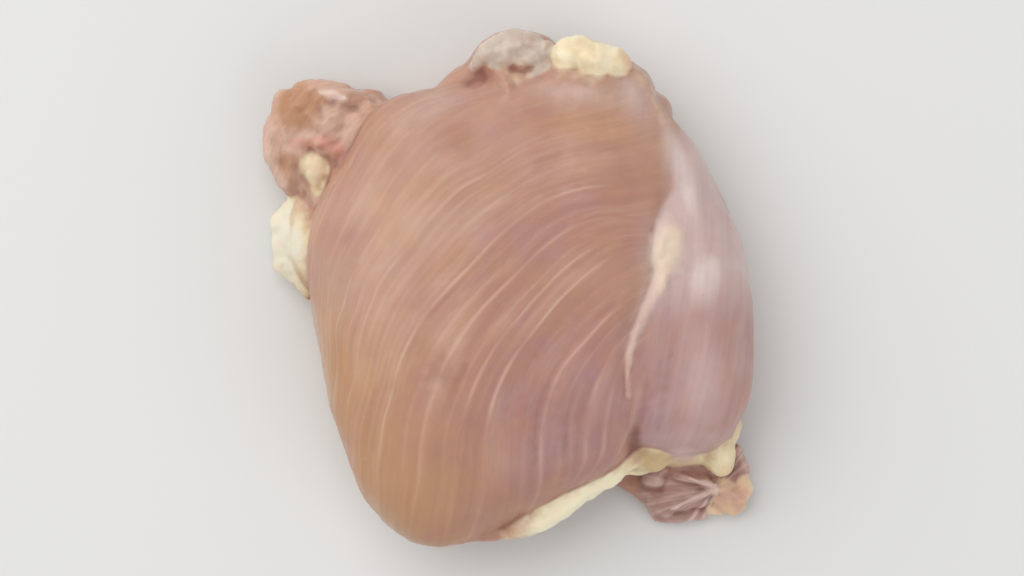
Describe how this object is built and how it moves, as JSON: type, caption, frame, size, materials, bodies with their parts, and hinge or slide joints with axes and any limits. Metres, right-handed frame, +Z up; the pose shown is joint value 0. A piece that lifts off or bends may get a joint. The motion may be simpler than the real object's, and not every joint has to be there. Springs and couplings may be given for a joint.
{
  "type": "raw chicken thigh",
  "caption": "Raw boneless, skinless chicken thigh, folded for the pack, with pale grain lines, a fat seam, trimmed fat at its edges and two flaps tucked under.",
  "frame": {"origin": "middle of the footprint's bounding box, on the surface that the thigh lies on", "axes": "+Z up out of the shown smooth face; +Y along the thigh's length, from the edge with the line of fat to the edge with the lumps of fat; +X across, from the folded side to the narrow outer muscle"},
  "size_m": [0.0852, 0.0912, 0.0314],
  "materials": {
    "raw_meat": "satin",
    "fat": "satin",
    "membrane": "gloss"
  },
  "bodies": {
    "root": {"chicken_thigh": "raw_meat"}
  },
  "joints": []
}
